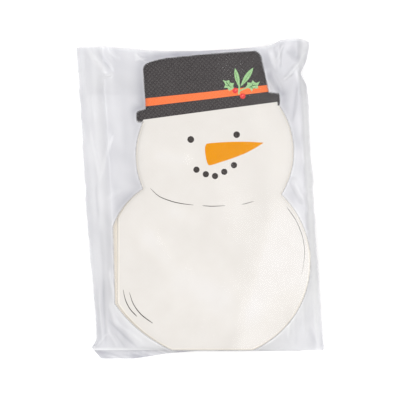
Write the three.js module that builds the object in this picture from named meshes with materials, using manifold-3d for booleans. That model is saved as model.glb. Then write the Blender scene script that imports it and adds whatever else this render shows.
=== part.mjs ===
// A film bag of die-cut paper napkins in the shape of a snowman with a top hat.
// The pack lies on its back: +Z is up out of the printed faces, +Y points to the hats,
// and the origin is at the bottom centre of the whole pack. All sizes are in millimetres.
import * as THREE from 'three';
import * as BufferGeometryUtils from 'three/addons/utils/BufferGeometryUtils.js';
import Module from 'manifold-3d';

const wasm = await Module();
wasm.setup();

// The stack of napkins. A folded napkin is 197 tall and 130 wide. Its last fold is slightly
// skewed, so the side fold of its lower leaves sticks out past that of its upper ones.
const NAPKIN_COUNT = 20;
const NAPKIN_THICKNESS = 0.75;
const NAPKIN_PITCH = 0.95;
const STACK_JITTER = 0.35; // how far single napkins stray sideways
const ARC_SEGMENTS = 5; // half the number of straight pieces in each round stretch

// The bag. Its ends are level and its sides lean by BAG_LEAN, so every x in this block
// is taken on the line y = 0 of the napkins.
const BAG_LEAN = THREE.MathUtils.degToRad(3.1);
const FILM = 0.3;
const CLEARANCE = 0.2; // between layers that lie on each other
const SEAM_GAP = 0.3; // between film edges that are welded on the real bag
const BAG_LEFT = -86;
const BAG_RIGHT = 67.5;
const SEAM_WIDTH = 2.2;
const SEAM_THICKNESS = 0.5;
const SHOULDER_LEFT = -73.6; // where the front film bends down from its flat top
const SHOULDER_RIGHT = 62.3;
const BAG_BOTTOM = -100.8;
const BAG_MOUTH = 101.4;

// The flap with its adhesive strip, stored folded behind the bag.
const FLAP_LENGTH = 30;
const FLAP_INSET = 5; // from each side edge of the bag
const FLAP_ROOT = 1; // from the hinge line to the flap, and to the back film's edge
const STRIP_THICKNESS = 0.2;
const STRIP_WIDTH = 10;
const STRIP_INSET = 3; // from the flap's free edge
const JOGGLE_LENGTH = 1.8; // the slope where the back film rises over the folded flap

// Heights that follow from the layers.
const FLAP_BASE = STRIP_THICKNESS + CLEARANCE;
const SHELF_BASE = FLAP_BASE + FILM + CLEARANCE;
const OPEN_STRIP_TOP = SHELF_BASE + FILM + CLEARANCE + STRIP_THICKNESS; // with the flap swung open
const STACK_BASE = OPEN_STRIP_TOP + CLEARANCE;
const STACK_TOP = STACK_BASE + NAPKIN_COUNT * NAPKIN_PITCH;
const BAG_TOP = STACK_TOP + SEAM_GAP + FILM;

// The middle of the whole pack, seen from above, measured from the middle of the top napkin.
const FOOT_LEFT = BAG_LEFT + SEAM_WIDTH + SEAM_GAP;
const FOOT_RIGHT = BAG_RIGHT - SEAM_WIDTH - SEAM_GAP;
const SEAL_DROP = 4.2; // how far the seal's bottom-left dog-ear hangs below the bag's end
const SEAL_BOTTOM = BAG_BOTTOM - SEAM_GAP - SEAL_DROP;
const LEFTMOST = leaned(BAG_LEFT, BAG_MOUTH);
const RIGHTMOST = leaned(BAG_RIGHT, BAG_BOTTOM);
const PACK_CENTRE_X = (LEFTMOST + RIGHTMOST) / 2;
const PACK_CENTRE_Y = (BAG_MOUTH + SEAL_BOTTOM) / 2;

function leaned(x, y) {
  return x - y * Math.tan(BAG_LEAN);
}

function material(color, roughness, opacity = 1) {
  return new THREE.MeshStandardMaterial({
    color, roughness, metalness: 0, opacity, transparent: opacity < 1,
  });
}

function piece(name, geometry, look) {
  const mesh = new THREE.Mesh(geometry, look);
  mesh.name = name;
  return mesh;
}

// Draws an arc of the given radius from the outline's last point to (x, y).
// The outline runs anticlockwise and every arc bulges outwards.
function arcTo(shape, x, y, radius) {
  const start = shape.currentPoint.clone();
  const half = new THREE.Vector2(x, y).sub(start).multiplyScalar(0.5);
  const rise = Math.sqrt(radius ** 2 - half.lengthSq());
  const centre = start.clone().add(half);
  centre.add(new THREE.Vector2(-half.y, half.x).setLength(rise));
  const from = Math.atan2(start.y - centre.y, start.x - centre.x);
  const to = Math.atan2(y - centre.y, x - centre.x);
  shape.absarc(centre.x, centre.y, radius, from, to, false);
}

// A folded napkin from above: two snow balls and a tipped top hat. The left side and
// the bottom are straight where they are folds of the sheet.
function napkinShape() {
  const shape = new THREE.Shape();
  shape.moveTo(-27.6, -98.5);
  shape.lineTo(26, -98.5);
  arcTo(shape, 44.6, 3.5, 62.6); // body, right
  arcTo(shape, 41.3, 64.9, 52.5); // head, right
  shape.lineTo(43.4, 65.1); // brim, right end
  shape.lineTo(42.9, 70.4);
  shape.lineTo(36, 70.8);
  shape.lineTo(31.1, 94.6); // crown, right
  arcTo(shape, 26.6, 98.5, 4.6);
  arcTo(shape, -25.8, 94.4, 900); // crown, top
  arcTo(shape, -42, 91.3, 60);
  arcTo(shape, -46.4, 86.4, 5.2);
  shape.lineTo(-44.5, 59.8); // crown, left
  shape.lineTo(-50.9, 58.2); // brim, left end
  shape.lineTo(-50.6, 52.3);
  shape.lineTo(-46.2, 52.7);
  arcTo(shape, -46.6, 7.2, 52.5); // head, left
  arcTo(shape, -66.6, -17.5, 49); // shoulder
  shape.lineTo(-65.3, -68.8); // side fold
  arcTo(shape, -27.6, -98.5, 87.2); // body, bottom left
  return shape;
}

function napkinMesh(number, shape, look) {
  const depth = NAPKIN_THICKNESS;
  const options = { depth, bevelEnabled: false, curveSegments: ARC_SEGMENTS };
  const name = `napkin_${String(number).padStart(2, '0')}`;
  const mesh = piece(name, new THREE.ExtrudeGeometry(shape, options), look);
  const below = number - 1;
  mesh.position.x = STACK_JITTER * Math.sin(2.1 * below);
  mesh.position.y = STACK_JITTER * Math.sin(1.3 * below);
  mesh.position.z = STACK_BASE + (NAPKIN_COUNT - number) * NAPKIN_PITCH;
  return mesh;
}

// Extrudes an outline of [across, up] points along y, and leans it with the bag's sides.
function leaningPrism(outline, from, to) {
  const shape = new THREE.Shape(outline.map(([x, z]) => new THREE.Vector2(x, z)));
  const geometry = new THREE.ExtrudeGeometry(shape, { depth: to - from, bevelEnabled: false });
  geometry.rotateX(Math.PI / 2);
  geometry.translate(0, to, 0);
  return leaning(geometry);
}

function leaning(geometry) {
  return geometry.applyMatrix4(new THREE.Matrix4().makeShear(0, 0, -Math.tan(BAG_LEAN), 0, 0, 0));
}

// A flat layer between two heights, with side edges that lean with the bag.
function layer(left, right, from, to, base, thickness) {
  const top = base + thickness;
  return leaningPrism([[left, base], [right, base], [right, top], [left, top]], from, to);
}

function toManifold(geometry) {
  const bare = geometry.clone();
  bare.deleteAttribute('normal');
  bare.deleteAttribute('uv');
  const merged = BufferGeometryUtils.mergeVertices(bare, 1e-4);
  const vertProperties = new Float32Array(merged.attributes.position.array);
  const triVerts = new Uint32Array(merged.index.array);
  return new wasm.Manifold(new wasm.Mesh({ numProp: 3, vertProperties, triVerts }));
}

function fromManifold(solid) {
  const { vertProperties, triVerts } = solid.getMesh();
  const geometry = new THREE.BufferGeometry();
  geometry.setAttribute('position', new THREE.BufferAttribute(new Float32Array(vertProperties), 3));
  geometry.setIndex(new THREE.BufferAttribute(new Uint32Array(triVerts), 1));
  geometry.computeVertexNormals();
  return geometry;
}

// The front film is a hood over the stack: flat on top, sloping to both side seams,
// upright at the bottom end and open at the mouth.
function frontFilm() {
  const outer = [[FOOT_LEFT, 0], [FOOT_RIGHT, 0], [SHOULDER_RIGHT, BAG_TOP], [SHOULDER_LEFT, BAG_TOP]];
  const slopes = [SHOULDER_LEFT - FOOT_LEFT, FOOT_RIGHT - SHOULDER_RIGHT];
  const [left, right] = slopes.map((run) => FILM * Math.hypot(run, BAG_TOP) / BAG_TOP);
  const ceiling = BAG_TOP - FILM;
  const at = (foot, shoulder, z) => foot + (shoulder - foot) * z / BAG_TOP;
  const inner = [
    [at(FOOT_LEFT, SHOULDER_LEFT, -1) + left, -1],
    [at(FOOT_RIGHT, SHOULDER_RIGHT, -1) - right, -1],
    [at(FOOT_RIGHT, SHOULDER_RIGHT, ceiling) - right, ceiling],
    [at(FOOT_LEFT, SHOULDER_LEFT, ceiling) + left, ceiling],
  ];
  const hood = toManifold(leaningPrism(outer, BAG_BOTTOM, BAG_MOUTH));
  const inside = toManifold(leaningPrism(inner, BAG_BOTTOM + FILM, BAG_MOUTH + 1));
  return fromManifold(hood.subtract(inside));
}

// The back film lies flat, and rises near the mouth to leave room for the folded flap.
function backFilm() {
  const left = FOOT_LEFT + FLAP_INSET / 2;
  const right = FOOT_RIGHT - SEAM_GAP * 3;
  const start = BAG_BOTTOM + FILM + SEAM_GAP;
  const end = BAG_MOUTH - FLAP_ROOT;
  const shelf = end - FLAP_LENGTH - FILM;
  const joggle = shelf - JOGGLE_LENGTH;
  const side = [
    [start, 0], [joggle, 0], [shelf, SHELF_BASE], [end, SHELF_BASE],
    [end, SHELF_BASE + FILM], [shelf, SHELF_BASE + FILM], [joggle, FILM], [start, FILM],
  ];
  const shape = new THREE.Shape(side.map(([y, z]) => new THREE.Vector2(y, z)));
  const geometry = new THREE.ExtrudeGeometry(shape, { depth: right - left, bevelEnabled: false });
  // The outline's axes and depth become y, z and x.
  geometry.applyMatrix4(new THREE.Matrix4().makeBasis(
    new THREE.Vector3(0, 1, 0), new THREE.Vector3(0, 0, 1), new THREE.Vector3(1, 0, 0),
  ));
  geometry.translate(left, 0, 0);
  return leaning(geometry);
}

function sideSeam(left) {
  return layer(left, left + SEAM_WIDTH, BAG_BOTTOM, BAG_MOUTH, 0, SEAM_THICKNESS);
}

// The heat seal along the bottom, with a dog-ear at its left end.
function bottomSeal() {
  const top = BAG_BOTTOM - SEAM_GAP;
  const left = leaned(BAG_LEFT, top);
  const right = leaned(BAG_RIGHT, top);
  const earTaper = 5.3;
  const earEnd = 31.8;
  const stripStart = 53;
  const stripWidth = 1;
  const shape = new THREE.Shape();
  shape.moveTo(left, top);
  shape.lineTo(left + earTaper, SEAL_BOTTOM);
  shape.lineTo(left + earEnd, SEAL_BOTTOM);
  shape.lineTo(left + stripStart, top - stripWidth);
  shape.lineTo(right, top - stripWidth);
  shape.lineTo(right, top);
  return new THREE.ExtrudeGeometry(shape, { depth: SEAM_THICKNESS, bevelEnabled: false });
}

function closingFlap() {
  const end = BAG_MOUTH - FLAP_ROOT;
  return layer(BAG_LEFT + FLAP_INSET, BAG_RIGHT - FLAP_INSET, end - FLAP_LENGTH, end, FLAP_BASE, FILM);
}

function adhesiveStrip() {
  const start = BAG_MOUTH - FLAP_ROOT - FLAP_LENGTH + STRIP_INSET;
  const inset = FLAP_INSET + STRIP_INSET;
  return layer(BAG_LEFT + inset, BAG_RIGHT - inset, start, start + STRIP_WIDTH, 0, STRIP_THICKNESS);
}

const clearFilm = () => material(0xe6e6ec, 0.15, 0.35);

const pack = new THREE.Group();
pack.add(piece('back_film', backFilm(), clearFilm()));
pack.add(piece('front_film', frontFilm(), clearFilm()));
pack.add(piece('left_seam', sideSeam(BAG_LEFT), clearFilm()));
pack.add(piece('right_seam', sideSeam(BAG_RIGHT - SEAM_WIDTH), clearFilm()));
pack.add(piece('bottom_seal', bottomSeal(), clearFilm()));
pack.add(piece('closing_flap', closingFlap(), clearFilm()));
pack.add(piece('adhesive_strip', adhesiveStrip(), material(0xf4f2ea, 0.4)));

const outline = napkinShape();
for (let number = 1; number <= NAPKIN_COUNT; number += 1) {
  pack.add(napkinMesh(number, outline, material(0xf1ece6, 0.9)));
}
pack.position.set(-PACK_CENTRE_X, -PACK_CENTRE_Y, 0);

const model = new THREE.Group();
model.add(pack);
export default model;
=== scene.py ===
"""Looks for a clear film bag of die-cut snowman napkins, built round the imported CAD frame.

The art and the bag's outline are in millimetres, measured from the middle of the top folded
napkin. Everything that reaches Blender is in metres in the row frame.
"""
import math

import bmesh
import bpy
import numpy as np
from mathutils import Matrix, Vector
from mathutils.geometry import delaunay_2d_cdt


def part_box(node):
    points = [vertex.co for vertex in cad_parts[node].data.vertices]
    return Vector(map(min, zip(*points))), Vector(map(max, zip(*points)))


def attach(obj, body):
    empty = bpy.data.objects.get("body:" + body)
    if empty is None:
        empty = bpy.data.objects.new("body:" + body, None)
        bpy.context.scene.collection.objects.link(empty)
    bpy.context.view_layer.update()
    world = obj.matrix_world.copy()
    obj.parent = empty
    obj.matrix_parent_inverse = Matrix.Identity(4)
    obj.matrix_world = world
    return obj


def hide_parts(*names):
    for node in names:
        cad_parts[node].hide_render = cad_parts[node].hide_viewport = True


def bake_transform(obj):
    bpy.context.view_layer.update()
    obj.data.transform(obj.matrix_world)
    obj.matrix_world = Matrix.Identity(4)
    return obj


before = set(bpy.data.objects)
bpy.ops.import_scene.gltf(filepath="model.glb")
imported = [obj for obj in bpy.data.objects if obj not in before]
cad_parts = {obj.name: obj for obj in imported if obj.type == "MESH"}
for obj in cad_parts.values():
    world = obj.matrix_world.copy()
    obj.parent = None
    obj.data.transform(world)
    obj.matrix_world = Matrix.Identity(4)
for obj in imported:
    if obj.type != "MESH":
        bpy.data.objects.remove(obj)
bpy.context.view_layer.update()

MM = 0.001
LEAN = math.tan(math.radians(3.1))  # the bag leans left by this for each mm up its sides

# The folded napkin: its straight folds, and how its leaves lie. The last fold is a little
# skewed, so the side fold of the lower two leaves sticks out past that of the upper two.
UPPER_FOLD = ((-63.6, -12.1), (-63.6, -69.4))
LOWER_FOLD = ((-66.6, -17.5), (-65.3, -68.8))
BASE_Y = -98.5
FOOT_Y = BASE_Y - 0.9  # the foot is drawn a little lower than the CAD slab's, as in the photo
FOOT_FOLD = ((-27.6, FOOT_Y), (26, FOOT_Y))
LEAVES = 4
LEAF = 0.14
LEAF_PITCH = 0.22
LAP = 0.02  # how far a fold's bead sinks into the leaves it joins, so that no gap shows

NAPKINS = sorted(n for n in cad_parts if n.startswith("napkin_"))


def napkin_origin(node):
    """Where a napkin's own middle is, in the row frame."""
    low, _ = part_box(node)
    return Vector((low.x - LOWER_FOLD[0][0] * MM, low.y - BASE_Y * MM, low.z))


ORIGIN = napkin_origin(NAPKINS[0])
STACK_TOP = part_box(NAPKINS[0])[1].z / MM


# ---------------------------------------------------------------- outlines


def arc_to(points, x, y, radius, steps=22):
    """Adds an arc from the last point to (x, y). It bulges to the right of the way it runs."""
    x0, y0 = points[-1]
    hx, hy = (x - x0) / 2, (y - y0) / 2
    half = math.hypot(hx, hy)
    rise = math.sqrt(radius**2 - half**2)
    cx, cy = x0 + hx - hy / half * rise, y0 + hy + hx / half * rise
    start = math.atan2(y0 - cy, x0 - cx)
    sweep = (math.atan2(y - cy, x - cx) - start) % (2 * math.pi)
    for i in range(1, steps + 1):
        a = start + sweep * i / steps
        points.append((cx + radius * math.cos(a), cy + radius * math.sin(a)))


def napkin_outline(fold):
    """The die-cut shape, closed at the left by a straight fold."""
    points = list(FOOT_FOLD)
    arc_to(points, 44.6, 3.5, 62.6, 40)  # body, right
    arc_to(points, 42.84, 62.9, 52.5, 26)  # head, right
    points += [(43.6, 62.6), (43.9, 65.7), (43.5, 69.6), (42.7, 70.4), (36.5, 71.0)]
    points += [(35.1, 77.2), (33.5, 84.8), (31.8, 92.2)]
    arc_to(points, 26.8, 98.5, 6.3, 10)
    arc_to(points, -25.8, 94.2, 900, 6)  # crown, top
    arc_to(points, -42, 91.05, 60, 8)
    arc_to(points, -46.7, 86.4, 5.4, 8)
    points += [(-45.9, 74), (-45.3, 66.5), (-45.1, 59.9), (-50.0, 58.6), (-51.0, 57.6)]
    points += [(-51.1, 53.0), (-50.3, 51.6), (-47.0, 51.3), (-46.2, 52.3)]
    arc_to(points, -46.6, 7.2, 52.5, 20)  # head, left
    arc_to(points, *fold[0], 49, 12)  # shoulder
    points.append(fold[1])
    arc_to(points, *FOOT_FOLD[0], 87.2, 16)  # body, bottom left
    return points[:-1]


OUTLINE = napkin_outline(UPPER_FOLD)
LOWER_OUTLINE = napkin_outline(LOWER_FOLD)


def circle(x, y, radius, steps=24):
    """A round spot as a closed outline."""
    turn = [2 * math.pi * i / steps for i in range(steps)]
    return [(x + radius * math.cos(a), y + radius * math.sin(a)) for a in turn]


def rounded(points, steps=5, closed=True):
    """A smooth Catmull-Rom curve through the points."""
    count = len(points)
    result = []
    for i in range(count if closed else count - 1):
        if closed:
            p = [np.array(points[(i + k) % count], float) for k in (-1, 0, 1, 2)]
        else:
            p = [np.array(points[min(max(i + k, 0), count - 1)], float) for k in (-1, 0, 1, 2)]
        cubic = 3 * (p[1] - p[2]) + p[3] - p[0]
        for j in range(steps):
            t = j / steps
            bend = 2 * p[0] - 5 * p[1] + 4 * p[2] - p[3] + t * cubic
            q = p[1] + 0.5 * t * (p[2] - p[0] + t * bend)
            result.append((float(q[0]), float(q[1])))
    if not closed:
        result.append(tuple(points[-1]))
    return result


def stroke(points, width, steps=6, taper=0.6, heavy=0.5):
    """A pen stroke along a smooth line, widest at the share heavy of its length."""
    line = np.array(rounded(points, steps, closed=False))
    ahead = np.gradient(line, axis=0)
    ahead /= np.linalg.norm(ahead, axis=1)[:, None]
    across = np.stack([-ahead[:, 1], ahead[:, 0]], axis=1)
    t = np.linspace(0, 1, len(line))
    lean = np.interp(t, [0, heavy, 1], [0, 0.5, 1])
    half = width / 2 * np.maximum(np.sin(math.pi * lean), 0.05) ** taper
    left, right = line + across * half[:, None], line - across * half[:, None]
    return [tuple(p) for p in left] + [tuple(p) for p in right[::-1]]


def moved(points, x, y, degrees):
    """The points turned about the origin, then shifted to (x, y)."""
    c, s = math.cos(math.radians(degrees)), math.sin(math.radians(degrees))
    return [(x + c * px - s * py, y + s * px + c * py) for px, py in points]


# ---------------------------------------------------------------- the printed face

# The inks' numbers: EDGE is the paper of the inner leaves, and the rim ink a paler, warmer band
# along the die cut: painted light against the shade that falls along the napkin's edge.
PAPER, HAT, BAND, NOSE, LEAFGREEN, VEIN, BERRY, BERRY_SPOT, PEN, EDGE, LIT_RIM = range(11)

BRIM_Y = 59.4  # the brim's lower edge at x = 0
BRIM_SLOPE = math.tan(math.radians(7.6))


def brim_line(x, above):
    """The height at x of a line parallel to the brim's lower edge and so far above it."""
    return BRIM_Y + x * BRIM_SLOPE + above


def hat_shapes():
    """The hat, its band, and the crimped ends of its brim."""
    reach, high = 60, 110  # past the outline, which cuts the hat to shape
    hat = [(x, brim_line(x, above)) for x, above in ((-reach, -0.2), (0, -0.15), (reach, -0.2))]
    hat += [(reach, high), (-reach, high)]
    band = [(-45.2, 61.8), (-5, 66.5), (36.6, 71.6), (35.6, 76), (-5, 71.35), (-45.2, 67.15)]
    crimps = [
        [(-51.5, 53.6), (-51.5, 51.2), (-47.2, 51.5), (-46.4, 53.6)],
        [(42.1, 65.8), (42.3, 62.4), (44.2, 62.4), (44.2, 65.8)],
    ]
    return [(HAT, hat), (BAND, band)] + [(HAT, crimp) for crimp in crimps]


# The two holly leaves, prickle by prickle.
HOLLY_LEFT = [
    (6.0, 79.3), (8.3, 78.6), (10.1, 79.3), (11.0, 77.4), (13.6, 77.2), (12.8, 75.5), (13.4, 73.9),
    (11.8, 72.7), (10.0, 72.2), (9.2, 74.1), (6.8, 74.2), (7.7, 76.2), (7.1, 77.6),
]
HOLLY_RIGHT = [
    (30.7, 78.4), (28.5, 77.4), (27.3, 77.7), (25.8, 79.2), (25.0, 77.5), (22.1, 77.7),
    (22.3, 76.0), (20.9, 74.4), (22.7, 73.9), (24.1, 73.5), (25.1, 71.6), (26.2, 73.7),
    (29.6, 73.7), (29.1, 75.5),
]


def lance(x0, y0, x1, y1, width):
    """A long pointed leaf from its foot to its tip."""
    length = math.hypot(x1 - x0, y1 - y0)
    half = [(0, 0), (0.22, 0.3), (0.5, 0.5), (0.78, 0.36), (1, 0)]
    side = rounded([(a * length, b * width) for a, b in half], 4, closed=False)
    leaf = side + [(a, -b) for a, b in side[-2:0:-1]]
    return moved(leaf[::-1], x0, y0, math.degrees(math.atan2(y1 - y0, x1 - x0)))


def sprig_shapes():
    """The leaves, the twigs, the leaves' veins, and the berries with their glints."""
    return [
        (LEAFGREEN, lance(16.9, 74.4, 14.1, 87.2, 3.0)),
        (LEAFGREEN, lance(17.8, 75.0, 26.2, 87.5, 3.4)),
        (LEAFGREEN, stroke([(17.0, 76.5), (16.9, 73.6), (16.6, 69.8)], 1.1, taper=0.15)),
        (LEAFGREEN, stroke([(16.9, 71.8), (19.4, 73.2), (22.6, 74.4)], 0.9, taper=0.15)),
        (LEAFGREEN, HOLLY_LEFT),
        (LEAFGREEN, HOLLY_RIGHT),
        (VEIN, stroke([(11.8, 74.0), (9.6, 76.2), (8.2, 78.2)], 0.45)),
        (VEIN, stroke([(10.4, 75.4), (8.7, 75.5), (8.1, 75.9)], 0.3)),
        (VEIN, stroke([(10.0, 75.9), (10.4, 77.3), (10.2, 78.2)], 0.3)),
        (VEIN, stroke([(23.4, 74.2), (26.0, 75.6), (28.8, 75.9)], 0.5)),
        (VEIN, stroke([(24.6, 74.9), (25.6, 74.0), (27.2, 73.6)], 0.3)),
        (VEIN, stroke([(25.4, 75.3), (25.6, 76.6), (26.4, 77.3)], 0.3)),
        (VEIN, stroke([(15.9, 77.5), (15.0, 81.5), (14.4, 85.0)], 0.22)),
        (VEIN, stroke([(19.2, 76.6), (22.2, 81.4), (25.0, 85.4)], 0.22)),
        (BERRY, circle(14.2, 72.3, 1.85)),
        (BERRY, circle(19.2, 68.7, 1.85)),
        (BERRY_SPOT, circle(14.7, 72.6, 0.55, 12)),
        (BERRY_SPOT, circle(19.1, 69.0, 0.55, 12)),
    ]


def face_shapes():
    """The eyes, the mouth and the carrot nose."""
    dots = [(-15.2, 39.9, 2.25), (15.2, 43.1, 2.2)]  # the eyes: x, y and radius
    mouth = [(-11.4, 19.9), (-5.2, 16.9), (0.9, 15.7), (7.0, 18.5), (13.4, 22.9)]
    dots += [(x, y, 2.08) for x, y in mouth]
    nose = rounded(
        [
            (32.2, 37.2), (22.6, 31.6), (13.9, 28.0), (4.6, 24.9), (-1.9, 22.9), (-3.9, 23.6),
            (-5.2, 28.0), (-5.8, 33.0), (-5.3, 36.1), (-3.0, 37.4), (10.0, 38.3), (22.0, 38.4),
            (31.4, 37.9),
        ]
    )
    return [(PEN, circle(*d)) for d in dots] + [(NOSE, nose)]


def pen_shapes():
    """The loose pen lines under the head and down the body's sides."""
    strokes = [  # the line, its width, and where along it it is widest
        ([(-41.9, 7.5), (-36.3, 2.4), (-29.2, -0.6), (-22.1, -2.4), (-13.5, -3.5)], 0.54, 0.6),
        ([(-7.4, -3.9), (-0.8, -4.3), (7.8, -3.9)], 0.46, 0.4),
        ([(18.4, -3.1), (22.5, -2.2), (26.6, -0.9)], 0.36, 0.5),
        ([(48.3, -4.7), (54.6, -14.0), (58.9, -25.0), (60.2, -36.5), (58.3, -49.2)], 0.31, 0.15),
        ([(-60.0, -59.4), (-58.4, -66.4), (-55.3, -72.5), (-50.8, -77.3)], 0.6, 0.8),
        ([(-55.8, -61.4), (-53.2, -69.0), (-48.0, -76.0), (-40.2, -81.9)], 0.62, 0.75),
    ]
    return [(PEN, stroke(points, width, 8, 0.45, heavy)) for points, width, heavy in strokes]


# Inside of this the paper is untouched. Outside of it is a rim about 1 mm wide in the paler rim
# ink:
# painted light against the shade that the film casts along the napkin's edge.
UNTOUCHED = [(x * 0.981, y * 0.991) for x, y in OUTLINE]

# What is printed, from the bottom up. The last shape over a spot gives its ink.
PRINT = [(LIT_RIM, OUTLINE), (PAPER, UNTOUCHED)]
PRINT += hat_shapes() + sprig_shapes() + face_shapes() + pen_shapes()


def signed_area(points):
    """Positive for an outline that runs anticlockwise."""
    p = np.array(points)
    q = np.roll(p, -1, axis=0)
    return float((p[:, 0] * q[:, 1] - q[:, 0] * p[:, 1]).sum() / 2)


def edge_distance(x, y, outline=OUTLINE):
    """How far points are from an outline."""
    a = np.array(outline)
    b = np.roll(a, -1, axis=0)
    best = np.full(len(x), 1e9)
    for (ax, ay), (bx, by) in zip(a, b):
        dx, dy = bx - ax, by - ay
        t = np.clip(((x - ax) * dx + (y - ay) * dy) / (dx * dx + dy * dy), 0, 1)
        best = np.minimum(best, np.hypot(x - ax - t * dx, y - ay - t * dy))
    return best


def inside_outline(x, y, outline=OUTLINE):
    """Which points are inside an outline: an odd number of its edges is to the right of them."""
    a = np.array(outline)
    b = np.roll(a, -1, axis=0)
    crossings = np.zeros(len(x), int)
    for (ax, ay), (bx, by) in zip(a, b):
        if ay != by:
            spans = (y >= min(ay, by)) & (y < max(ay, by))
            crossings += spans & (ax + (y - ay) * (bx - ax) / (by - ay) > x)
    return crossings % 2 == 1


def printed_face(spacing):
    """The napkin's face cut into triangles along every printed edge: points, triangles, inks."""
    points, faces = [], []
    for _, shape in PRINT:
        shape = shape if signed_area(shape) > 0 else shape[::-1]
        faces.append(list(range(len(points), len(points) + len(shape))))
        points += shape
    # staggered points all over the face
    gx, gy = np.meshgrid(np.arange(-64, 66, spacing), np.arange(-98, 100, spacing))
    gx = (gx + (np.arange(gx.shape[0])[:, None] % 2) * spacing / 2).ravel()
    gy = gy.ravel()
    keep = inside_outline(gx, gy) & (edge_distance(gx, gy) > 0.5 * spacing)
    points += list(zip(gx[keep].tolist(), gy[keep].tolist()))
    inner = np.array(OUTLINE) * 0.992  # a ring of points that the pressed edge can follow
    points += [tuple(p) for p in inner[inside_outline(inner[:, 0], inner[:, 1])]]
    inside_only, tolerance = 1, 1e-4
    verts, _, tris, _, _, origins = delaunay_2d_cdt(
        [Vector(p) for p in points], [], faces, inside_only, tolerance, True
    )
    kept = [(t, PRINT[max(o)][0]) for t, o in zip(tris, origins) if 0 in o]
    return np.array([tuple(v) for v in verts]), [t for t, _ in kept], [ink for _, ink in kept]


# ---------------------------------------------------------------- noise


def noise(x, y, seed):
    """Smooth noise from -1 to 1, the same on every run."""
    size = 64
    table = np.random.default_rng(seed).uniform(-1, 1, (size, size))
    x0, y0 = np.floor(x).astype(int), np.floor(y).astype(int)
    fx, fy = x - x0, y - y0
    fx, fy = fx * fx * (3 - 2 * fx), fy * fy * (3 - 2 * fy)
    x0, y0, x1, y1 = x0 % size, y0 % size, (x0 + 1) % size, (y0 + 1) % size
    low = table[x0, y0] * (1 - fx) + table[x1, y0] * fx
    high = table[x0, y1] * (1 - fx) + table[x1, y1] * fx
    return low * (1 - fy) + high * fy


def ridges(x, y, seed):
    """Narrow crests with wide hollows between them, from 0 to 1."""
    return (1 - np.abs(noise(x, y, seed))) ** 3


def smooth(low, high, x):
    """0 below low, 1 above high, and an S between. With low above high it falls instead."""
    t = np.clip((x - low) / (high - low), 0, 1)
    return t * t * (3 - 2 * t)


def hump(x, middle, reach):
    """1 in the middle, falling off softly on both sides."""
    return np.exp(-(((x - middle) / reach) ** 2))


# ---------------------------------------------------------------- materials


class Nodes:
    """A node material being put together."""

    def __init__(self, name):
        self.material = bpy.data.materials.new(name)
        self.material.use_nodes = True
        self.tree = self.material.node_tree
        self.tree.nodes.clear()
        self.output = self.add("ShaderNodeOutputMaterial")

    def add(self, kind, inputs=None, **settings):
        node = self.tree.nodes.new(kind)
        for key, value in settings.items():
            setattr(node, key, value)
        for key, value in (inputs or {}).items():
            self.feed(node.inputs[key], value)
        return node

    def feed(self, socket, value):
        if isinstance(value, bpy.types.NodeSocket):
            self.tree.links.new(value, socket)
        else:
            socket.default_value = value

    def place(self, scale=(1, 1, 1), turn=0.0):
        """The object's own coordinates in metres, scaled, and turned about z."""
        coordinates = self.add("ShaderNodeTexCoord").outputs["Object"]
        inputs = {"Vector": coordinates, "Scale": scale, "Rotation": (0, 0, turn)}
        return self.add("ShaderNodeMapping", inputs).outputs["Vector"]

    def noise(self, size_mm, detail=2.0, vector=None, roughness=0.5):
        inputs = {"Scale": 1 / (size_mm * MM), "Detail": detail, "Roughness": roughness}
        inputs["Vector"] = vector or self.place()
        return self.add("ShaderNodeTexNoise", inputs).outputs["Fac"]

    def ramp(self, value, *stops):
        """A colour ramp. Each stop is (position, colour)."""
        node = self.add("ShaderNodeValToRGB", {"Fac": value})
        elements = node.color_ramp.elements
        while len(elements) < len(stops):
            elements.new(1)
        for element, (position, colour) in zip(elements, stops):
            element.position = position
            element.color = (*colour, 1)
        return node.outputs["Color"]

    def bump(self, height, strength, distance_mm):
        inputs = {"Height": height, "Strength": strength, "Distance": distance_mm * MM}
        return self.add("ShaderNodeBump", inputs).outputs["Normal"]

    def calc(self, a, b, operation="ADD"):
        return self.add("ShaderNodeMath", {0: a, 1: b}, operation=operation).outputs[0]

    def finish(self, shader):
        self.tree.links.new(shader, self.output.inputs["Surface"])
        return self.material


def embossing(nodes):
    """The height of the pressed dots in tissue, with the tissue's own fibres."""
    dot_pitch, turn = 2.0, 0.7
    grid = nodes.place((1, 1, 1), turn)
    dots = nodes.add(
        "ShaderNodeTexVoronoi",
        {"Vector": grid, "Scale": 1 / (dot_pitch * MM), "Randomness": 0.18},
        feature="F1",
        voronoi_dimensions="2D",
    ).outputs["Distance"]
    bumps = nodes.ramp(dots, (0.08, (1, 1, 1)), (0.42, (0, 0, 0)))
    fibres = nodes.noise(0.5, 3)
    return nodes.calc(nodes.calc(bumps, 0.55, "MULTIPLY"), nodes.calc(fibres, 0.45, "MULTIPLY"))


def tissue(name, pale, deep, roughness=0.85, blotch_mm=11.0, grain=0.35, press=0.5):
    """Embossed tissue in one colour of ink, or none. It varies from pale to deep."""
    nodes = Nodes(name)
    height = embossing(nodes)
    blotches = nodes.noise(blotch_mm, 3)
    speckle = nodes.calc(height, grain, "MULTIPLY")
    tone = nodes.calc(nodes.calc(blotches, 1 - grain, "MULTIPLY"), speckle)
    colour = nodes.ramp(tone, (0.2, deep), (0.65, pale))
    shader = nodes.add(
        "ShaderNodeBsdfPrincipled",
        {
            "Base Color": colour,
            "Roughness": roughness,
            "Specular IOR Level": 0.15,
            "Normal": nodes.bump(height, press, 0.12),
        },
    )
    return nodes.finish(shader.outputs[0])


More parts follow.
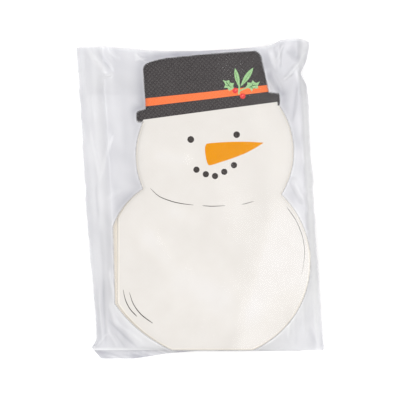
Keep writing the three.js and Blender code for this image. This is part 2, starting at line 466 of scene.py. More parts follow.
def paper_materials():
    """In the order of the inks' numbers."""
    bare = {"roughness": 0.92, "grain": 0.15, "press": 0.15}
    hat = {"blotch_mm": 3.4, "grain": 0.7, "press": 0.35}
    return [
        tissue("tissue_white", (0.77, 0.741, 0.692), (0.743, 0.71, 0.658), **bare),
        tissue("ink_charcoal", (0.089, 0.081, 0.080), (0.046, 0.041, 0.041), **hat),
        tissue("ink_coral", (0.945, 0.22, 0.076), (0.90, 0.185, 0.052)),
        tissue("ink_carrot", (0.80, 0.315, 0.001), (0.74, 0.265, 0.001), blotch_mm=3.0),
        tissue("ink_leaf", (0.42, 0.66, 0.34), (0.27, 0.50, 0.21), blotch_mm=2.0),
        tissue("ink_vein", (0.06, 0.13, 0.05), (0.03, 0.07, 0.025), blotch_mm=2.0),
        tissue("ink_berry", (0.86, 0.085, 0.075), (0.68, 0.045, 0.045), blotch_mm=1.5),
        tissue("ink_berry_spot", (0.92, 0.20, 0.17), (0.85, 0.14, 0.12), blotch_mm=1.5),
        tissue("ink_pen", (0.075, 0.065, 0.06), (0.03, 0.026, 0.024), blotch_mm=1.2),
        tissue("tissue_inside", (0.84, 0.78, 0.68), (0.78, 0.715, 0.605), 0.92),
        # the rim ink: paler and warmer than the paper, painted light along the cut edge
        tissue("tissue_rim_painted_light", (0.885, 0.84, 0.755), (0.85, 0.80, 0.71), **bare),
    ]


# How strong the film's mirror is where it is clear, how much milk adds to that, and its limit.
CLEAR_SHINE, MILKY_SHINE, MOST_SHINE = 1.1, 2.2, 0.08


def film_material(name, tint=(0.95, 0.949, 0.958), gloss=0.1):
    """Clear film with a glossy face: milky where its "veil" attribute says so.

    Its other attribute makes that milk dark or pale, and the clear film dim or bright. It holds the
    milk's own tone and, above all, painted shade and light, among them a painted sheen over the
    napkins.
    """
    nodes = Nodes(name)
    veil = nodes.add("ShaderNodeAttribute", attribute_name="veil").outputs["Fac"]
    haze = nodes.add("ShaderNodeAttribute", attribute_name="haze").outputs["Fac"]
    crinkle = nodes.noise(3.2, 3, nodes.place((1, 0.5, 1)), 0.55)
    normal = nodes.bump(crinkle, 0.12, 0.25)
    smoky = nodes.calc(nodes.noise(24, 4, nodes.place((1, 0.4, 1)), 0.6), 0.25, "MULTIPLY")
    # Painted sheen and dulling: the clear film's tint is brightened or dimmed by the attribute.
    dim = tuple(c * 0.97 for c in tint)
    bright = tuple(0.5 * c + 0.5 * full for c, full in zip(tint, (0.98, 0.99, 1.03)))
    clear_tint_and_painted_sheen = nodes.ramp(nodes.calc(haze, smoky), (0.3, dim), (0.65, tint), (1.0, bright))
    clear = nodes.add("ShaderNodeBsdfTransparent", {"Color": clear_tint_and_painted_sheen})
    # The milk's colour, dark or pale: mostly painted shade and light beside the napkins.
    milk = nodes.ramp(
        haze, (0.0, (0.38, 0.38, 0.43)), (0.5, (0.84, 0.838, 0.86)), (1.0, (0.99, 0.99, 0.99))
    )
    # The milk's normal leans upwards, so that it is lit much alike on both sides of a wrinkle.
    lifted = nodes.add("ShaderNodeVectorMath", {0: normal, 1: (0, 0, 1.2)}).outputs[0]
    even = nodes.add("ShaderNodeVectorMath", {0: lifted}, operation="NORMALIZE").outputs[0]
    lit = nodes.add("ShaderNodeBsdfDiffuse", {"Color": milk, "Normal": even})
    passed = nodes.add("ShaderNodeBsdfTranslucent", {"Color": milk, "Normal": even})
    cloudy = nodes.add("ShaderNodeMixShader", {0: 0.1, 1: lit.outputs[0], 2: passed.outputs[0]})
    body = nodes.add("ShaderNodeMixShader", {0: veil, 1: clear.outputs[0], 2: cloudy.outputs[0]})
    mirror = nodes.add(
        "ShaderNodeBsdfGlossy", {"Color": (1, 1, 1, 1), "Roughness": gloss, "Normal": normal}
    )
    edge_on = nodes.add("ShaderNodeFresnel", {"IOR": 1.2, "Normal": normal}).outputs[0]
    gloss_share = nodes.calc(nodes.calc(veil, MILKY_SHINE, "MULTIPLY"), CLEAR_SHINE)
    share = nodes.calc(nodes.calc(edge_on, gloss_share, "MULTIPLY"), MOST_SHINE, "MINIMUM")
    both = nodes.add("ShaderNodeMixShader", {0: share, 1: body.outputs[0], 2: mirror.outputs[0]})
    return nodes.finish(both.outputs[0])


def adhesive_material():
    """A layer of glue with tiny bubbles in it: cloudy where its "veil" attribute says so."""
    nodes = Nodes("adhesive_tape")
    bubbles = nodes.noise(1.6, 3)
    tone = nodes.ramp(bubbles, (0.3, (0.975, 0.975, 0.97)), (0.6, (0.995, 0.995, 0.99)))
    clear = nodes.add("ShaderNodeBsdfTransparent", {"Color": tone})
    face = nodes.add(
        "ShaderNodeBsdfPrincipled",
        {
            "Base Color": nodes.ramp(bubbles, (0.3, (0.62, 0.60, 0.53)), (0.7, (0.75, 0.73, 0.66))),
            "Roughness": 0.3,
            "Normal": nodes.bump(bubbles, 0.3, 0.1),
        },
    )
    veil = nodes.add("ShaderNodeAttribute", attribute_name="veil").outputs["Fac"]
    mixed = nodes.add("ShaderNodeMixShader", {0: veil, 1: clear.outputs[0], 2: face.outputs[0]})
    return nodes.finish(mixed.outputs[0])


# ---------------------------------------------------------------- meshes


def new_object(name, data):
    """An object in the scene, round this data."""
    piece = bpy.data.objects.new(name, data)
    bpy.context.scene.collection.objects.link(piece)
    return piece


def grid_mesh(name, x, y, z, materials, **fields):
    """A sheet over arrays of points in napkin millimetres, placed in the row frame.

    Each further field becomes a point attribute of its own name.
    """
    rows, columns = x.shape
    points = np.stack([x.ravel() * MM + ORIGIN.x, y.ravel() * MM + ORIGIN.y, z.ravel() * MM], 1)
    index = np.arange(rows * columns).reshape(rows, columns)
    quads = np.stack([index[:-1, :-1], index[:-1, 1:], index[1:, 1:], index[1:, :-1]], -1)
    mesh = bpy.data.meshes.new(name)
    mesh.from_pydata(points.tolist(), [], quads.reshape(-1, 4).tolist())
    mesh.shade_smooth()
    for material in materials:
        mesh.materials.append(material)
    for field, values in fields.items():
        attribute = mesh.attributes.new(field, "FLOAT", "POINT")
        spread = np.broadcast_to(values, x.shape).ravel().astype(np.float32)
        attribute.data.foreach_set("value", spread)
    return new_object(name, mesh)


def leaf_relief(points):
    """How high a top leaf's face stands over its flat level."""
    x, y = points[:, 0], points[:, 1]
    d = edge_distance(x, y)
    puffed = 0.08 * (1 - np.exp(-d / 5)) + 0.03 * noise(x / 19, y / 23, 5)
    pressed = 0.05 * hump(d, 0, 0.7)
    return puffed - pressed


def close_below(bm, edges, z):
    """Draws a rim down from the boundary edges to height z, and closes it with a floor."""
    made = bmesh.ops.extrude_edge_only(bm, edges=edges)["geom"]
    for vert in (g for g in made if isinstance(g, bmesh.types.BMVert)):
        vert.co.z = z
    rim = [g for g in made if isinstance(g, bmesh.types.BMEdge)]
    bmesh.ops.edgeloop_fill(bm, edges=rim)


def add_fold(bm, ends, outward, low, high, bulge, ink=PAPER):
    """The rounded wrap of a fold between the leaves at heights low and high, as a solid bead."""
    steps = 6
    rows = []
    for i in range(steps + 1):
        a = math.pi * (i / steps - 0.5)
        z = ((low + high) / 2 + math.sin(a) * (high - low) / 2) * MM
        out = math.cos(a) * bulge - LAP
        spots = [(p[0] + outward[0] * out, p[1] + outward[1] * out) for p in ends]
        rows.append([bm.verts.new((x * MM, y * MM, z)) for x, y in spots])
    faces = [
        bm.faces.new((below[0], below[1], above[1], above[0]))
        for below, above in zip(rows, rows[1:] + rows[:1])
    ]
    for face in faces:
        face.smooth = True
    for face in faces + [bm.faces.new([row[side] for row in rows]) for side in (0, 1)]:
        face.material_index = ink


def napkin_mesh(name, spacing, materials):
    """A napkin folded in four: a printed leaf over three plain ones, and the folds' wraps."""
    bm = bmesh.new()
    points, triangles, inks = printed_face(spacing)
    top = (LEAVES - 1) * LEAF_PITCH + LEAF
    z = top + leaf_relief(points)
    verts = [bm.verts.new((x * MM, y * MM, h * MM)) for (x, y), h in zip(points, z)]
    for triangle, ink in zip(triangles, inks):
        face = bm.faces.new([verts[i] for i in triangle])
        face.material_index = ink
        face.smooth = True
    bmesh.ops.delete(bm, geom=[v for v in bm.verts if not v.link_faces], context="VERTS")
    close_below(bm, [e for e in bm.edges if e.is_boundary], (top - LEAF) * MM)
    # The lower leaves from the bottom up. Each is smaller than its outline by a small share.
    plain = ((LOWER_OUTLINE, 0.0022), (LOWER_OUTLINE, 0.0004), (OUTLINE, 0.0030))
    for leaf, (outline, shrink) in enumerate(plain):
        base = leaf * LEAF_PITCH
        ring = [
            (LOWER_FOLD[0][0] + (x - LOWER_FOLD[0][0]) * (1 - shrink), y * (1 - shrink / 2))
            for x, y in outline
        ]
        lid = bm.faces.new([bm.verts.new((x * MM, y * MM, (base + LEAF) * MM)) for x, y in ring])
        lid.material_index = EDGE
        close_below(bm, list(lid.edges), base * MM)
    add_fold(bm, LOWER_FOLD, (-1, 0), LAP, LEAF_PITCH + LEAF - LAP, 0.24)
    add_fold(bm, UPPER_FOLD, (-1, 0), 2 * LEAF_PITCH + LAP, top - 2 * LAP, 0.24)
    # the foot's bead takes the paler rim ink too: painted light against the shade along the foot
    add_fold(bm, FOOT_FOLD, (0, -1), LAP, top - 2 * LAP, 0.20, LIT_RIM)
    mesh = bpy.data.meshes.new(name)
    bmesh.ops.recalc_face_normals(bm, faces=bm.faces)
    bm.to_mesh(mesh)
    bm.free()
    for material in materials:
        mesh.materials.append(material)
    return mesh


def make_napkins():
    """All the napkins, from the top down, as copies of two meshes."""
    materials = paper_materials()
    fine = napkin_mesh("napkin_fine", 2.0, materials)  # the top napkin, which shows
    plain = napkin_mesh("napkin_plain", 5.0, materials)
    pieces = []
    for number, node in enumerate(NAPKINS):
        piece = new_object(f"folded_{node}", fine if number == 0 else plain)
        piece.location = napkin_origin(node)
        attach(piece, node)
        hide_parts(node)
        pieces.append(piece)
    return pieces


# ---------------------------------------------------------------- the film bag

# Where the bag's edges run: (y, x) up each side, and (x, y) along the mouth.
LEFT_EDGE = [
    (-99.5, -80.3), (-93, -78.0), (-75, -78.7), (-58, -80.2), (-42, -82.1), (-11, -84.8),
    (9, -85.5), (29, -86.8), (53, -88.1), (69, -89.3), (93, -90.7), (102, -91.3),
]
RIGHT_EDGE = [
    (-99.5, 73.2), (-90, 73), (-74, 71.8), (-58, 70.3), (-42, 69.7), (-27, 68.4), (-3, 67),
    (13, 66.4), (37, 64.4), (53, 63.7), (69, 63), (77, 61.7), (84.5, 58.4), (89, 60.2),
    (94, 62.3), (103, 63.8), (106, 63.6),
]
MOUTH = [
    (-91.3, 101.7), (-75, 101.4), (-55, 100.0), (-43, 98.7), (-33, 98.2), (-10, 98.3),
    (12, 99.5), (28, 100.9), (36, 101.7), (40, 103.2), (44, 105.4), (50, 106.6), (60, 106.7),
    (64.0, 105.2),
]
BAG_FOOT = -100.6
PLATEAU = STACK_TOP + 0.75  # the lowest that the front film may lie over the napkins
SEAM_Z = 1.1
FILM_ROWS = 236
FILM_COLUMNS = 184
DRAPE_ROUNDS = 1500
STIFFNESS = 0.7  # how hard the film pulls along the bag, against 1 across it

# The milk beside the napkins is the film's own haze, and also painted light: it reaches up to their
# outline, so its pale milk lies over the shade of the deep gap beside the stack.
MILKY = 0.70  # the veil of the film beside the napkins
CLEAR = 0.002  # and over them

FOLD_HEIGHT = 0.85  # the share of its listed height that a fold is drawn with

# Folds of the front film: start, end, half width and height. A hollow has a negative height.
CREASES = [
    # bottom left
    ((-70.5, -79.5), (-48.5, -101.0), 1.3, -1.2),
    ((-67.5, -78.0), (-45.0, -98.0), 2.2, 1.2),
    ((-57.0, -86.5), (-46.0, -97.0), 3.2, 1.0),
    ((-68.5, -66.0), (-65.0, -86.0), 2.2, 1.3),
    ((-73.5, -50.0), (-71.5, -100.0), 1.2, -1.0),
    ((-76.0, -60.0), (-74.5, -99.0), 1.0, 0.9),
    ((-71.0, -84.0), (-64.0, -100.0), 1.2, 1.0),
    ((-66.0, -88.0), (-58.0, -100.0), 1.0, -0.7),
    ((-80.0, -99.0), (-70.0, -89.0), 1.1, 0.9),
    # left side
    ((-69.0, -44.0), (-66.9, -66.0), 1.3, 1.3),
    ((-75.0, -14.0), (-72.5, -70.0), 2.0, -0.6),
    ((-82.5, 49.0), (-76.0, 11.0), 1.6, 1.0),
    ((-67.0, 45.0), (-76.5, 12.0), 1.8, 0.8),
    ((-78.5, 12.0), (-76.5, -14.0), 1.0, -0.9),
    ((-81.0, 71.0), (-79.0, 50.0), 1.2, 0.6),
    ((-72.0, 0.0), (-60.0, 8.0), 2.4, 0.35),
    # top left
    ((-85.0, 102.0), (-69.0, 80.5), 2.3, 1.6),
    ((-78.0, 100.0), (-66.0, 84.0), 1.5, -0.8),
    ((-73.5, 81.0), (-67.0, 82.8), 0.9, 2.4),
    ((-70.0, 101.0), (-62.0, 92.0), 1.6, 0.6),
    ((-52.0, 97.0), (-43.5, 89.0), 0.9, 1.5),
    ((-52.0, 93.5), (-44.0, 92.5), 0.9, 0.9),
    # top right
    ((37.5, 101.0), (43.0, 84.0), 2.6, 1.3),
    ((42.5, 104.5), (43.5, 88.0), 1.5, 1.6),
    ((47.0, 103.5), (41.0, 92.0), 1.3, 1.2),
    ((48.5, 101.0), (59.5, 91.0), 3.4, -0.9),
    ((57.5, 90.5), (48.5, 82.5), 1.4, 1.5),
    ((53.0, 84.5), (46.0, 79.5), 1.0, 1.7),
    ((61.5, 99.0), (55.0, 89.0), 0.8, 1.3),
    ((35.5, 86.0), (45.5, 69.5), 2.4, -0.9),
    ((43.5, 106.3), (63.5, 105.6), 1.0, 1.2),
    ((56.0, 80.0), (51.0, 50.0), 2.0, -0.5),
    # right side
    ((61.5, 30.0), (63.5, -12.0), 1.3, 1.2),
    ((52.0, 16.0), (60.0, -4.0), 3.0, 0.9),
    ((57.0, 44.0), (58.5, 14.0), 2.4, -0.6),
    ((65.0, -4.0), (68.0, -60.0), 1.0, 0.9),
    ((66.8, 12.0), (70.5, -50.0), 0.9, -0.8),
    # bottom right
    ((50.5, -70.0), (49.5, -94.0), 1.4, 1.5),
    ((55.0, -66.0), (55.5, -99.0), 1.8, -0.8),
    ((59.5, -66.0), (60.0, -92.0), 1.3, 1.1),
    ((63.5, -84.0), (70.0, -99.0), 3.0, -0.7),
    ((67.0, -62.0), (69.0, -99.0), 0.9, 0.8),
]

# Soft swells of the film over the napkins: start, end, half width and height.
SWELLS = [
    ((-46, -20), (-32, -42), 6, 0.32),
    ((-32, -49), (26, -73), 13.5, 0.8),
    ((-38, 30), (-18, 26), 5, 0.25),
    ((-30, -8), (-12, -14), 6, 0.3),
]

# Painted light and shade on the film over the napkins, spots where it brightens or dulls what is
# under
# it: x, y, reach and how much.
PAINTED_GLOWS = [
    (-39, -43, 10, -0.2),
    (-34, -54, 10, -0.1),
    (28, -62, 13, -0.1),
    (40, -82, 11, -0.12),
    (32, 4, 16, -0.1),
    (-18, -15, 7, -0.2),
    (11, -83, 8, 0.15),
    (-7, -88, 7, -0.15),
]

# Painted shade and light on the film close beside the napkins, the shadow beside the hat among
# them:
# x, y, reach and how much.
NEAR_SHADES = [
    (-50, 76, 22, -0.22),
    (-49, 61, 7, -0.2),
    (-43, 98, 8, -0.2),
    (-18, 99, 17, -0.22),
    (14, 101, 15, -0.22),
    (40, 86, 12, -0.12),
    (48, 66, 9, -0.28),
    (54, 46, 12, -0.12),
    (-56, 0, 13, -0.2),
    (-56, -80, 22, 0.35),
    (-25, -99, 14, 0.2),
    (50, -76, 18, 0.5),
    (20, -99, 16, 0.2),
    (50, 2, 12, 0.08),
]

# Painted shade and light in the film's milk, darker or paler as a whole: x, y, reach and how much.
SHADES = [
    (54, 86, 20, -0.12),
    (51, 30, 9, -0.12),
    (60, 30, 8, 0.12),
    (46, 0, 9, -0.15),
    (70, -97, 9, -0.15),
    (57, -86, 9, 0.14),
    (-76, -74, 17, -0.07),
    (-52, 70, 8, -0.05),
    (-55, 90, 13, 0.08),
    (48, 84, 12, 0.06),
    (34, -97, 12, 0.3),
    (-66, -92, 20, -0.1),
    (-33, -101, 10, 0.4),
    (-46, -96, 9, 0.15),
    (-10, 102, 26, -0.25),
]


def along(pairs, values):
    """The second numbers of the pairs, read off at these values of the first ones."""
    known = np.array(pairs, float)
    return np.interp(values, known[:, 0], known[:, 1])


def bag_grid(rows=FILM_ROWS, columns=FILM_COLUMNS):
    """x and y over a whole face of the bag: rows run up it, columns run across it."""
    across, up = np.meshgrid(np.linspace(0, 1, columns), np.linspace(0, 1, rows))
    up = up ** 1.12  # closer rows at the foot
    x = -92 + across * 155  # a guess: x and y depend on each other, and settle in three rounds
    for _ in range(3):
        top = along(MOUTH, x)
        y = BAG_FOOT + (top - BAG_FOOT) * up
        left, right = along(LEFT_EDGE, y), along(RIGHT_EDGE, y)
        x = left + (right - left) * across
    ripple = 0.35 * noise(y / 7, across * 2, 11) + 0.2 * noise(y / 2.6, across * 2, 12)
    edge = np.maximum(smooth(0.06, 0, across), smooth(0.94, 1, across))
    return x + ripple * edge, y, across


def swept_floor(u):
    """The lowest y that the napkins pass over at each distance across the leaning bag."""
    lean = [(x + y * LEAN, y) for x, y in LOWER_OUTLINE]
    low = min(range(len(lean)), key=lambda i: lean[i][0])
    high = max(range(len(lean)), key=lambda i: lean[i][0])
    known = np.array(lean[low:] + lean[: high + 1])  # the outline's lower side
    return np.interp(u, known[:, 0], known[:, 1], left=1e3, right=1e3)


def draped_height(x, y):
    """A film stretched over the stack and its way out, down to the seams: free at the mouth."""
    u = x + y * LEAN
    aside, below = 0.9, 1.2  # how far past the napkins' way the flat top reaches
    over = (y > swept_floor(u + aside) - below) & (y > swept_floor(u - aside) - below)
    over |= y > swept_floor(u) - below
    z = np.where(over, PLATEAU, SEAM_Z)
    over[0, :] = False
    for _ in range(DRAPE_ROUNDS):
        middle = z[1:-1, :-2] + z[1:-1, 2:] + STIFFNESS * (z[:-2, 1:-1] + z[2:, 1:-1])
        middle = middle / (2 + 2 * STIFFNESS)
        z[1:-1, 1:-1] = np.where(over[1:-1, 1:-1], PLATEAU, middle)
        z[-1] = z[-2]  # the mouth is free
        z[0], z[:, 0], z[:, -1] = SEAM_Z, SEAM_Z, SEAM_Z
    return z, over


def line_distance(x, y, start, end):
    """How far points are to the right of a line, and how far along it they are, from 0 to 1."""
    (x0, y0), (x1, y1) = start, end
    dx, dy = x1 - x0, y1 - y0
    length = math.hypot(dx, dy)
    return ((x - x0) * dy - (y - y0) * dx) / length, ((x - x0) * dx + (y - y0) * dy) / length**2


def tent(x, y, start, end, half, height):
    """A straight fold with a sharp crest, fading out at both ends."""
    d, t = line_distance(x, y, start, end)
    d = np.abs(d + 0.6 * noise(t * 4, t * 0 + height, 21))
    fade = smooth(-0.05, 0.25, t) * smooth(1.05, 0.7, t)
    return height * fade * np.maximum(0, 1 - d / half)


def swell(x, y, start, end, half):
    """A soft ridge along a line, from 0 to 1."""
    d, t = line_distance(x, y, start, end)
    return hump(d, 0, half) * smooth(-0.3, 0.2, t) * smooth(1.3, 0.8, t)


def past_sheen_line(x, y):
    """How far points are to the right of the slanting line where the film starts to fall away."""
    line_x, line_y, slant = 26.2, -54.3, 0.235  # a point on the line, and its x for each mm up
    return x - line_x - (y - line_y) * slant


def dome(x, y):
    """The puffed middle of the film: it falls away to the right of a slanting line."""
    top, slope_right, slope_left = 2.2, math.tan(math.radians(3.0)), math.tan(math.radians(1.6))
    beyond = past_sheen_line(x, y) / 2
    right = 2 * slope_right * np.log1p(np.exp(np.clip(beyond, -60, 60)))
    left = np.clip(-x - 38, 0, 40) * slope_left
    return top - right - left


def crease_height(x, y):
    """The folds of the list together, in millimetres."""
    return sum(tent(x, y, *fold) for fold in CREASES)


def front_relief(x, y, across, slope):
    """Wrinkles of the front film. slope is 0 on the flat top and 1 at the seams."""
    u = x + y * LEAN
    rim = smooth(0, 0.012, across) * smooth(1, 0.988, across)
    margin = smooth(0.0, 0.3, slope) * rim
    level = 0.35  # about what ridges come to on the whole
    relief = margin * (
        0.40 * (ridges(u / 6.5, y / 38, 31) - level)
        + 0.22 * (ridges(u / 2.6, y / 14, 32) - level)
        + 0.40 * noise(x / 7 + y / 12, y / 9, 33)
    )
    relief = relief + FOLD_HEIGHT * crease_height(x, y) * rim
    flat = smooth(0.35, 0, slope)
    broad = 0.30 * noise(x / 30 + y / 80, y / 42, 41) + 0.06 * noise(x / 12, y / 17, 42)
    for start, end, half, height in SWELLS:
        broad = broad + height * swell(x, y, start, end, half)
    return relief + flat * (dome(x, y) + broad)


def shading(x, y, spots):
    """Soft round spots of painted shade and light added up."""
    return sum(a * np.exp(-((x - cx) ** 2 + (y - cy) ** 2) / r**2) for cx, cy, r, a in spots)


def sheen(x, y):
    """How much painted sheen the film over the napkins gets.

    It is painted bright to the right of the slanting line and on the swells, and painted dull just
    to the left of that line, round the body's lower right, and at the listed spots, brighter or
    duller.
    """
    past = past_sheen_line(x, y)
    side = 0.7 * smooth(-2.5, 3.5, past) * smooth(10, -14, y)
    dark = 0.3 * hump(past, -6, 7) * smooth(12, -4, y)
    edge = 0.4 * smooth(44, 58, np.hypot(x + 5, y + 38)) * smooth(-52, -66, y) * smooth(0, 20, x)
    swells = 0.7 * sum(swell(x, y, *s[:3]) for s in SWELLS)
    return side - dark - edge + swells + 2 * shading(x, y, PAINTED_GLOWS)


def blurred(z, times):
    """Each point averaged with its four neighbours, so many times over."""
    for _ in range(times):
        p = np.pad(z, 1, mode="edge")
        z = (p[:-2, 1:-1] + p[2:, 1:-1] + p[1:-1, :-2] + p[1:-1, 2:] + z) / 5
    return z


def sharpness(z):
    """0 where a sheet is smooth, towards 1 on its creases."""
    return np.clip(np.abs(z - blurred(z, 3)) * 3.0, 0, 1)


def beside_haze(x, y, across, slope, gap):
    """How pale the milk of the front film is beside the napkins, mostly painted shade and light.

    gap is how far off they are.
    """
    u = x + y * LEAN
    near = hump(np.maximum(gap, 0), 0, 5)
    streaks = noise(u / 4, y / 22, 52) + 0.8 * noise(x / 9 + y / 16, y / 10, 53)
    # Painted shade: darker on the flat top near the stack, and in the folds' hollows; painted light
    # on the folds' crests. The streaks are the milk's own.
    haze = 0.49 - 0.15 * (1 - slope) + 0.05 * streaks + 0.13 * crease_height(x, y)
    # painted light: paler on the steep right side and at the foot, where the film lies in shade
    steep = smooth(0.08, 0.35, slope) * smooth(50, 56, x) * smooth(74, 56, y) * smooth(-82, -60, y)
    haze = haze + 0.32 * steep + 0.5 * smooth(-98.5, BAG_FOOT, y) * smooth(50, 30, x)
    # painted shade and light at the listed spots, some only close beside the napkins
    haze = haze + shading(x, y, SHADES) + near * shading(x, y, NEAR_SHADES)
    # painted shade along the left seam, and painted light along the right one
    haze = haze - 0.06 * smooth(0.045, 0.01, across) + 0.2 * hump(across, 0.978, 0.013)
    # two long painted highlights down the left margin
    haze = haze + 0.09 * hump(u, -74.8, 2.2) * smooth(-40, -15, y)
    return haze + 0.07 * hump(u, -63.5, 2.2) * smooth(25, 45, y)


def front_film():
    """The film over the napkins: its points, how milky it is, and how pale, with the painted light
    and shade that this carries.
    """
    x, y, across = bag_grid()
    z, over = draped_height(x, y)
    slope = (PLATEAU - z) / (PLATEAU - SEAM_Z)
    relief = front_relief(x, y, across, slope)
    lowest = np.where(over, PLATEAU, SEAM_Z)
    z = np.maximum(blurred(z, 2) + relief, lowest)
    # how far each point is outside the napkins, less than 0 over them
    flat_x, flat_y = x.ravel(), y.ravel()
    gap = edge_distance(flat_x, flat_y, LOWER_OUTLINE)
    gap = np.where(inside_outline(flat_x, flat_y, LOWER_OUTLINE), -gap, gap).reshape(x.shape)
    beside = smooth(-0.4, 0.7, gap - 0.5 * smooth(-94, -98, y))
    # Along the outline the film gets more milk, and paler milk: painted light over the dark line of
    # shade there.
    rim = hump(gap, 0.2, 0.9)
    veil = CLEAR + beside * (MILKY + 0.12 * rim)
    haze = beside_haze(x, y, across, slope, gap) + 0.06 * rim
    # Over the napkins this carries the painted sheen, which brightens or dims the clear film's
    # tint.
    haze = haze * beside + (0.39 + 0.5 * sheen(x, y)) * (1 - beside)
    slack = 0.3  # keeps the film off the highest leaf
    return x, y, z + slack, {"veil": veil, "haze": haze}


def back_height(y):
    """The back film lies on the ground, and over the folded flap near the mouth."""
    ground, air, run_up = 0.2, 0.55, 14
    flap_low = (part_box("closing_flap")[0].y - ORIGIN.y) / MM
    shelf = (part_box("back_film")[1].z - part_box("closing_flap")[1].z) / MM
    return ground + (air + shelf) * smooth(flap_low - run_up, flap_low - 0.5, y)


def back_film():
    """The film under the napkins, raised at its sides to meet the seams."""
    x, y, across = bag_grid(150, 120)
    rim = np.maximum(smooth(0.035, 0, across), smooth(0.965, 1, across))
    z = back_height(y)
    z = z + 0.28 * ridges(x / 13, y / 21, 61) * (1 - rim)
    z = z * (1 - rim) + (SEAM_Z - 0.15) * rim
    return x, y, z, {"veil": 0.03 + 0.1 * sharpness(z), "haze": 0.6}


def seam_strip(left):
    """A weld band just inside a side edge."""
    width, columns = 2.1, 5
    top = 101.5 if left else 105.6
    y = np.linspace(BAG_FOOT, top, 150)
    edge = along(LEFT_EDGE if left else RIGHT_EDGE, y)
    edge = edge + 0.35 * noise(y / 7, y * 0 + (0 if left else 2), 11)
    inward = np.linspace(0.0, width, columns) * (1 if left else -1)
    x = edge[:, None] + inward[None, :]
    z = SEAM_Z + 0.06 + 0.12 * noise(y / 5, y * 0, 71)
    y, z = np.repeat(y[:, None], columns, 1), np.repeat(z[:, None], columns, 1)
    return x, y, z, {"veil": 0.3, "haze": 0.45 + 0.6 * noise(x / 1.6, y / 2.4, 72)}


# The bottom seal's free edge, from its left end to its right.
SEAL_EDGE = [
    (-81.2, -98.9), (-75.2, -106.2), (-53.5, -106.2), (-46, -105.2), (-31.8, -102.9),
    (-11.8, -101.2), (20, -101.2), (57, -101.0), (73.2, -99.6),
]


def bottom_seal():
    """The weld band along the bag's foot, ribbed and puckered at the dog-ear on its left."""
    columns = 9
    rib_pitch = 1.1
    left, right = SEAL_EDGE[0][0], SEAL_EDGE[-1][0]
    x = np.linspace(left, right, 220)
    low = along(SEAL_EDGE, x)
    high = np.full_like(x, BAG_FOOT + 0.5)
    corner = [(left, -98.4), (-78, -93.5)]  # the seal's upper edge beside the bag's own corner
    high = np.where(x < corner[1][0], along(corner, x), high)
    share = np.linspace(0, 1, columns)
    y = low[:, None] + (high - low)[:, None] * share[None, :]
    x = np.repeat(x[:, None], columns, 1)
    ear = smooth(-25, -50, x)
    ribs = 0.12 * np.sin(y * 2 * math.pi / rib_pitch) * ear
    z = SEAM_Z - 0.35 + ribs + 0.5 * ridges(x / 5, y / 6, 81) * ear
    haze = 0.23 - 0.13 * smooth(-62, -48, x) + 0.12 * smooth(-48, -32, x)
    haze = haze + 0.2 * noise(x / 3 + y, y / 3, 82)
    return x, y, z, {"veil": MILKY, "haze": haze}


def make_bag():
    """The five pieces of the bag, which all ride on it."""
    front_look = film_material("film_front")
    back_look = film_material("film_back")
    weld_look = film_material("film_weld", tint=(0.90, 0.90, 0.915), gloss=0.25)
    parts = [
        ("front_film_sheet", "front_film", front_film(), front_look),
        ("back_film_sheet", "back_film", back_film(), back_look),
        ("left_seam_weld", "left_seam", seam_strip(True), weld_look),
        ("right_seam_weld", "right_seam", seam_strip(False), weld_look),
        ("bottom_seal_weld", "bottom_seal", bottom_seal(), weld_look),
    ]
    for name, node, (x, y, z, fields), look in parts:
        piece = grid_mesh(name, x, y, z, [look], **fields)
        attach(piece, "bag")
        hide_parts(node)


# ---------------------------------------------------------------- the flap


def flap_grid(node, rows, columns, z, wrinkle, seed):
    """A sheet over a leaning CAD layer, from that layer's own box."""
    low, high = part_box(node)
    y0, y1 = (low.y - ORIGIN.y) / MM, (high.y - ORIGIN.y) / MM
    left, right = (low.x - ORIGIN.x) / MM + y1 * LEAN, (high.x - ORIGIN.x) / MM + y0 * LEAN
    across, up = np.meshgrid(np.linspace(0, 1, columns), np.linspace(0, 1, rows))
    y = y0 + (y1 - y0) * up
    x = left + (right - left) * across - y * LEAN
    return x, y, z + wrinkle * noise(x / 9, y / 6, seed)


def behind_hat(x):
    """1 where the folded flap lies behind the hats, falling to 0 at the bag's open margins."""
    return smooth(-58, -36, x) * smooth(50, 26, x)


def make_flap_film(look):
    """The flap itself. Returns the line and the height at which it meets the crease."""
    low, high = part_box("closing_flap")
    middle = (low.z + high.z) / 2 / MM
    x, y, z = flap_grid("closing_flap", 30, 90, middle, 0.05, 91)
    mouth = along(MOUTH, x[-1]) - 0.6  # just short of the bag's own mouth
    y = y[0] + (y - y[0]) * (mouth - y[0]) / (y[-1] - y[0])
    # milkier along the flap's three free edges
    share = np.linspace(0, 1, x.shape[1])
    hem = np.maximum(smooth(0.012, 0, share), smooth(0.988, 1, share))[None, :]
    hem = np.maximum(hem, smooth(y[0, 0] + 1.2, y[0, 0], y))
    veil = 0.30 + 0.1 * behind_hat(x) + 0.3 * hem + 0.1 * sharpness(z)
    haze = 0.42 + 0.1 * noise(x / 6, y / 3, 93) - 0.25 * hem
    sheet = grid_mesh("closing_flap_sheet", x, y, z, [look], veil=veil, haze=haze)
    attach(sheet, "flap")
    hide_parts("closing_flap")
    return x[-1], mouth, middle


def make_flap_tape():
    """The strip of glue on the flap."""
    low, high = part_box("adhesive_strip")
    x, y, z = flap_grid("adhesive_strip", 8, 90, (low.z + high.z) / 2 / MM, 0.03, 92)
    veil = 0.22 + 0.08 * behind_hat(x)
    tape = grid_mesh("adhesive_tape", x, y, z, [adhesive_material()], veil=veil)
    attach(tape, "flap")
    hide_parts("adhesive_strip")


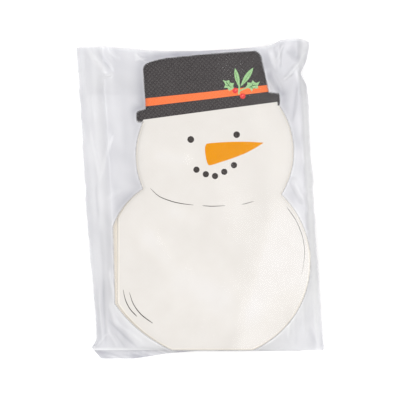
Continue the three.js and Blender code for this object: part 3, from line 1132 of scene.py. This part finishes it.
def make_flap_crease(x, y, flap_z, look):
    """The film that turns round the hinge line, from the back film to the flap."""
    near_mouth = 99.0
    back_z = float(back_height(np.array(near_mouth)))
    middle, half = (back_z + flap_z) / 2, (back_z - flap_z) / 2
    bulge = 0.35
    steps = 9
    rows = []
    for i in range(steps):
        a = math.pi * i / (steps - 1)
        rows.append((y + bulge * math.sin(a), middle + math.cos(a) * half))
    ys = np.stack([r[0] for r in rows])
    zs = np.stack([np.full_like(x, r[1]) for r in rows])
    xs = np.repeat(x[None, :], steps, 0)
    crease = grid_mesh("flap_crease", xs, ys, zs, [look], veil=0.1, haze=0.6)
    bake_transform(crease)


def make_flap():
    """The flap, its tape, and the film that joins it to the bag."""
    look = film_material("film_flap", tint=(0.985, 0.985, 0.988))
    crease_line = make_flap_film(look)
    make_flap_tape()
    make_flap_crease(*crease_line, look)


# ---------------------------------------------------------------- the studio


def make_floor():
    """A plain white ground, which glows a little so that it comes out as white as the photo's."""
    nodes = Nodes("studio_paper")
    dull, pale = (0.945, 0.945, 0.945), (0.965, 0.965, 0.965)
    tone = nodes.ramp(nodes.noise(90, 2), (0.3, dull), (0.7, pale))
    glow = {"Emission Color": tone, "Emission Strength": 0.12}
    shader = nodes.add("ShaderNodeBsdfPrincipled", {"Base Color": tone, "Roughness": 1.0} | glow)
    half = 4.0
    mesh = bpy.data.meshes.new("floor")
    corners = [(-half, -half, 0), (half, -half, 0), (half, half, 0), (-half, half, 0)]
    mesh.from_pydata(corners, [], [(0, 1, 2, 3)])
    mesh.materials.append(nodes.finish(shader.outputs[0]))
    floor = new_object("floor", mesh)
    floor.location.z = -0.0003  # a hair under the pack's back


def area_light(name, place, size, watts):
    """A soft light, pointed at the row frame's origin."""
    data = bpy.data.lights.new(name, "AREA")
    data.shape = "RECTANGLE"
    data.size, data.size_y = size
    data.energy = watts
    light = new_object(name, data)
    light.location = place
    light.rotation_euler = (-light.location).to_track_quat("-Z", "Y").to_euler()


def make_lights():
    """An even white surround, a key light on the right and a weaker one on the left."""
    world = bpy.data.worlds.new("studio")
    world.use_nodes = True
    background = world.node_tree.nodes["Background"]
    background.inputs["Color"].default_value = (1, 1, 1, 1)
    background.inputs["Strength"].default_value = 0.75
    bpy.context.scene.world = world
    area_light("key", (0.72, -0.05, 2.1), (0.9, 1.3), 17)
    area_light("fill", (-1.0, 0.1, 1.8), (1.0, 1.0), 12.5)


def make_camera():
    """Straight above the pack, framing 265 mm of the stack's top."""
    distance, framed = 2.0, 0.2649
    aim = Vector((-9.07, -0.17, 0))  # the picture's middle, from the top napkin's own
    data = bpy.data.cameras.new("camera")
    data.sensor_width = 36
    data.lens = data.sensor_width * distance / framed
    camera = new_object("camera", data)
    centre = ORIGIN + aim * MM
    camera.location = (centre.x, centre.y, STACK_TOP * MM + distance)
    bpy.context.scene.camera = camera


make_camera()
make_lights()
make_floor()
napkin_pieces = make_napkins()
make_bag()
make_flap()

bpy.context.scene.view_settings.view_transform = "Standard"
bpy.context.scene.cycles.transparent_max_bounces = 24
